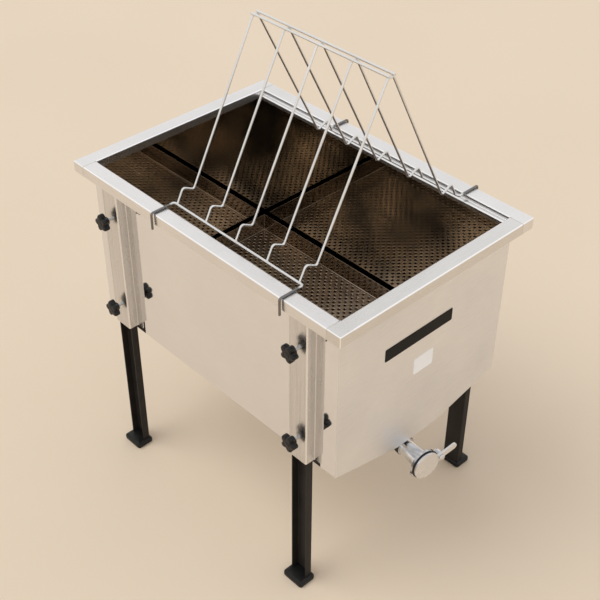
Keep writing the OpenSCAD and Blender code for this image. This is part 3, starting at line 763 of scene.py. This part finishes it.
# Painted reflection: the spout's colour has strong dark streaks standing in for dark things mirrored in it
spout_metal_painted_reflections = sheet_metal("spout_metal_painted_reflections", depth=0.6 * MM, Grain=(30, 130, 130),
                          Clear=(0.88, 0.89, 0.92, 1), Clouded=(0.36, 0.37, 0.38, 1),
                          Smooth=0.10, Rough=0.22, Wave=0.5, Streak=0.8)
gate_metal = sheet_metal("gate_metal", depth=0.6 * MM, Grain=(160, 160, 160), Clear=(0.86, 0.86, 0.88, 1),
                         Clouded=(0.72, 0.72, 0.74, 1), Smooth=0.24, Rough=0.36, Wave=0.5)
wear(nodes["outlet_bend"], spout_metal_painted_reflections)

seal_rubber = pimpled_coat("seal_rubber", dark=(0.006, 0.006, 0.006, 1), pale=(0.014, 0.014, 0.013, 1),
                           smooth=0.40, rough=0.55, scale=600.0, depth=0.06 * MM, dust=0.02, gloss=0.3)
wear(nodes["valve_gasket"], seal_rubber)
wear(nodes["mouth_seal"], seal_rubber)


def middle_of(node):
    low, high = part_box(node)
    return (low + high) / 2


valve_out = (middle_of("mouth_seal") - middle_of("valve_gasket")).normalized()
valve_side = valve_out.cross(Vector((0, 0, 1))).normalized()
valve_up = valve_side.cross(valve_out)
# Dark rubber rings round the pipe's collar and round the edge of the mouth flange: radius, and
# distance out along the valve from the seal's middle, in millimetres
gasket_lip = ((21.05, 1.0), (21.05, -5.5), (21.6, -6.0), (22.3, -5.4), (22.3, 4.4), (21.9, 5.0), (21.05, 5.0))
mouth_lip = ((27.5, -0.9), (33.05, -0.9), (33.05, -2.6), (33.5, -3.0), (33.9, -2.5), (33.9, 0.4), (33.5, 0.8),
             (27.5, 0.8))
lip_round = 72
lip_turns = [k * math.tau / lip_round for k in range(lip_round)]
for node, name, lip in (("valve_gasket", "gasket_lip", gasket_lip),
                        ("mouth_seal", "mouth_seal_lip", mouth_lip)):
    bm = bmesh.new()
    rings = []
    for r, along in lip:
        rings.append([bm.verts.new(middle_of(node) + valve_out * along * MM
                                   + (valve_side * math.cos(t) + valve_up * math.sin(t)) * r * MM)
                      for t in lip_turns])
    for one, other in zip(rings, rings[1:] + rings[:1]):
        for i in range(lip_round):
            j = (i + 1) % lip_round
            bm.faces.new((one[i], one[j], other[j], other[i]))
    piece = finished(bm, name, seal_rubber)
    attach(piece, "tank")


weld_dist = 0.005 * MM
flat_angle = math.radians(1)
sharp_angle = 40


def softened(node, name, material, edge):
    """A copy of a solid's shape with its sharp edges rounded over."""
    bm = bmesh.new()
    bm.from_mesh(nodes[node].data)
    bmesh.ops.remove_doubles(bm, verts=bm.verts, dist=weld_dist)
    bmesh.ops.dissolve_limit(bm, angle_limit=flat_angle, verts=bm.verts, edges=bm.edges)
    piece = finished(bm, name, material, sharp_angle)
    rounding = piece.modifiers.new("rounding", "BEVEL")
    rounding.width = edge
    rounding.segments = 3
    rounding.limit_method = "ANGLE"
    rounding.angle_limit = math.radians(sharp_angle)
    rounding.harden_normals = True
    return piece


for node, name, metal, edge in (("valve_spout", "cast_spout", spout_metal_painted_reflections, 0.8 * MM),
                                ("gate_plate", "swing_gate", gate_metal, 1.2 * MM)):
    piece = softened(node, name, metal, edge)
    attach(piece, "gate" if node == "gate_plate" else "tank")
    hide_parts(node)
for node, name, edge in (("pivot_screw", "pivot_screw_domed", 1.6 * MM),
                         ("lock_nut", "lock_nut_eased", 0.6 * MM),
                         ("spring_washer", "spring_washer_eased", 0.3 * MM)):
    piece = softened(node, name, plating, edge)
    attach(piece, "tank")
    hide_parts(node)


# Rack
# Drawn stainless wire: two rails with hooked ends over the rim, five stepped hoops from
# rail to rail, and two ridge wires. The crossings are resistance-welded.

rack_hoops = [f"rack_hoop_{i}" for i in range(1, 6)]
wire_depth = 0.1 * MM
wire_finish = {"Grain": (500, 500, 500), "Clear": (0.84, 0.84, 0.83, 1), "Clouded": (0.70, 0.69, 0.68, 1),
               "Smooth": 0.22, "Rough": 0.36, "Wave": 0.4}
wire_bright = sheet_metal("wire_bright", wire_depth, **wire_finish)
for node in ["ridge_wire_front", "ridge_wire_back"] + rack_hoops:
    wear(nodes[node], wire_bright)

# The rails' hooks are painted a dull grey where they lie over the rim, with a short change of tone: painted
# shade
hook_from = 11 * MM
hook_to = 17 * MM
hook_shade = (0.20, 0.195, 0.19, 1)
rail_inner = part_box("rack_rail_back")[0].y
wire_hook_shaded, tree, shader = new_material("wire_hook_shaded")
shader.inputs["Metallic"].default_value = 1.0
drawn_wire = place_group(tree, rolled_sheet, **wire_finish)
position = tree.nodes.new("ShaderNodeSeparateXYZ")
tree.links.new(tree.nodes.new("ShaderNodeTexCoord").outputs["Object"], position.inputs[0])
hook_shade_ramp = tree.nodes.new("ShaderNodeMapRange")
hook_shade_ramp.inputs["From Min"].default_value = rail_inner + hook_from
hook_shade_ramp.inputs["From Max"].default_value = rail_inner + hook_to
tree.links.new(maths(tree, "ABSOLUTE", position.outputs["Y"], 0.0), hook_shade_ramp.inputs["Value"])
tree.links.new(blend_colours(tree, hook_shade_ramp.outputs["Result"], drawn_wire.outputs["Color"], hook_shade),
               shader.inputs["Base Color"])
tree.links.new(drawn_wire.outputs["Roughness"], shader.inputs["Roughness"])
bump(tree, shader, drawn_wire.outputs["Height"], wire_depth)
wear(nodes["rack_rail_front"], wire_hook_shaded)
wear(nodes["rack_rail_back"], wire_hook_shaded)

# Weld nuggets where the hoops cross the ridge wires and the rails: half sizes, and how far
# a nugget's middle lies above a ridge wire's underside, inside a rail and below its top
nugget = (3.4 * MM, 2.1 * MM, 1.5 * MM)
ridge_rise = 0.2 * MM
rail_in = 1.8 * MM
rail_drop = 1.0 * MM
bm = bmesh.new()
for hoop in rack_hoops:
    low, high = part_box(hoop)
    x = (low.x + high.x) / 2
    crossings = []
    for ridge in ("ridge_wire_front", "ridge_wire_back"):
        ridge_low, ridge_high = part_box(ridge)
        crossings.append(Vector((x, (ridge_low.y + ridge_high.y) / 2, ridge_low.z + ridge_rise)))
    for side in (-1, 1):
        rail_low, rail_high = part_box("rack_rail_back")
        crossings.append(Vector((x, side * (rail_low.y + rail_in), rail_high.z - rail_drop)))
    for crossing in crossings:
        bmesh.ops.create_icosphere(bm, subdivisions=3, radius=1.0,
                                   matrix=Matrix.Translation(crossing) @ Matrix.Diagonal((*nugget, 1)))
piece = finished(bm, "rack_weld_nuggets", wire_bright)
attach(piece, "rack")


# Plate and sticker
# A blank dark plate and a blank white vinyl sticker, glued flat on the outlet wall.

plate_paint = pimpled_coat("plate_paint", dark=(0.004, 0.004, 0.0035, 1), pale=(0.008, 0.0075, 0.007, 1),
                           smooth=0.35, rough=0.50, scale=300.0, depth=0.03 * MM, dust=0.0, gloss=0.1)
sticker_vinyl = pimpled_coat("sticker_vinyl", dark=(0.92, 0.93, 0.95, 1), pale=(0.96, 0.97, 0.99, 1),
                             smooth=0.35, rough=0.50, scale=200.0, depth=0.03 * MM, dust=0.0)


def stuck_on(name, middle_y, middle_z, width, height, thickness, corner_r, material):
    """A thin plate with round corners on the outlet wall's face."""
    low = Vector((middle_y - width / 2, middle_z - height / 2))
    high = Vector((middle_y + width / 2, middle_z + height / 2))
    bm = bmesh.new()
    loft(bm, [[Vector((end_x + rise, y, z)) for y, z in round_rectangle(low, high, corner_r, inset)]
              for rise, inset in ((0.0, 0.0), (thickness * 0.6, 0.0), (thickness, thickness * 0.4))])
    piece = finished(bm, name, material)
    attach(piece, "tank")
    return piece


piece = stuck_on("blank_plate", middle_y=-20 * MM, middle_z=rim_top - 155.5 * MM, width=196 * MM,
                 height=31 * MM, thickness=0.8 * MM, corner_r=3 * MM, material=plate_paint)
piece = stuck_on("blank_sticker", middle_y=-0.5 * MM, middle_z=rim_top - 236.5 * MM, width=57 * MM,
                 height=41 * MM, thickness=0.3 * MM, corner_r=4 * MM, material=sticker_vinyl)


# Floor, light and camera
# A plain pale floor under soft light from the left, seen from above the outlet's near
# corner.

floor_paint, tree, shader = new_material("floor_paint")
shader.inputs["Roughness"].default_value = 0.7
shader.inputs["Specular IOR Level"].default_value = 0.2
floor_dark = (0.74, 0.615, 0.475, 1)
floor_pale = (0.78, 0.655, 0.515, 1)
paling = noise(tree, tree.nodes.new("ShaderNodeTexCoord").outputs["Object"], scale=1.2, detail=3.0)
tree.links.new(blend_colours(tree, paling, floor_dark, floor_pale), shader.inputs["Base Color"])
floor_half = 14.0
floor_drop = 0.5 * MM
bm = bmesh.new()
bmesh.ops.create_grid(bm, x_segments=2, y_segments=2, size=floor_half)
floor = finished(bm, "floor", floor_paint)
floor.location.z = -floor_drop

world = bpy.data.worlds.new("soft_room")
bpy.context.scene.world = world
world.use_nodes = True
sky = world.node_tree
sky.nodes.clear()
# The room is a little brighter where it is seen or mirrored than as a light
room_light = 0.78
seen_more = 0.16
rays = sky.nodes.new("ShaderNodeLightPath")
seen = maths(sky, "MAXIMUM", rays.outputs["Is Camera Ray"], rays.outputs["Is Glossy Ray"])
backdrop = sky.nodes.new("ShaderNodeBackground")
backdrop.inputs["Color"].default_value = (1.0, 0.99, 0.98, 1)
strength = maths(sky, "ADD", maths(sky, "MULTIPLY", seen, seen_more), room_light)
sky.links.new(strength, backdrop.inputs["Strength"])
sky.links.new(backdrop.outputs[0], sky.nodes.new("ShaderNodeOutputWorld").inputs["Surface"])

lamp = bpy.data.lights.new("soft_window", "SUN")
lamp.angle = math.radians(40)
lamp.energy = 1.0
lamp_object = bpy.data.objects.new("soft_window", lamp)
lamp_object.location = (-1.3, -1.8, 3.8)
lamp_aim = Vector((0, 0, 0.4)) - lamp_object.location
lamp_object.rotation_euler = lamp_aim.to_track_quat("-Z", "Y").to_euler()
lamp_object.visible_glossy = False
bpy.context.scene.collection.objects.link(lamp_object)

# The camera was fitted to the photo: its place from the tub's middle and the rim's top, its
# turns, and its focal length in pixels of the photo
camera_at = Vector((tub_x + 1.4606, -1.3770, rim_top + 1.2833))
azimuth = math.radians(46.4069)
elevation = math.radians(38.1905)
roll = math.radians(0.2983)
focal_px = 1141.67
photo_px = 600
sensor_w = 36
back = Vector((math.sin(azimuth) * math.cos(elevation), -math.cos(azimuth) * math.cos(elevation),
               math.sin(elevation)))
right = Vector((math.cos(azimuth), math.sin(azimuth), 0))
up = back.cross(right)
level_right = right * math.cos(roll) + up * math.sin(roll)
level_up = up * math.cos(roll) - right * math.sin(roll)
lens = bpy.data.cameras.new("photo_camera")
lens.sensor_width = sensor_w
lens.lens = sensor_w * focal_px / photo_px
camera = bpy.data.objects.new("photo_camera", lens)
camera_turn = Matrix((level_right, level_up, back)).transposed().to_4x4()
camera.matrix_world = Matrix.Translation(camera_at) @ camera_turn
bpy.context.scene.collection.objects.link(camera)
bpy.context.scene.camera = camera
bpy.context.scene.view_settings.view_transform = "Standard"
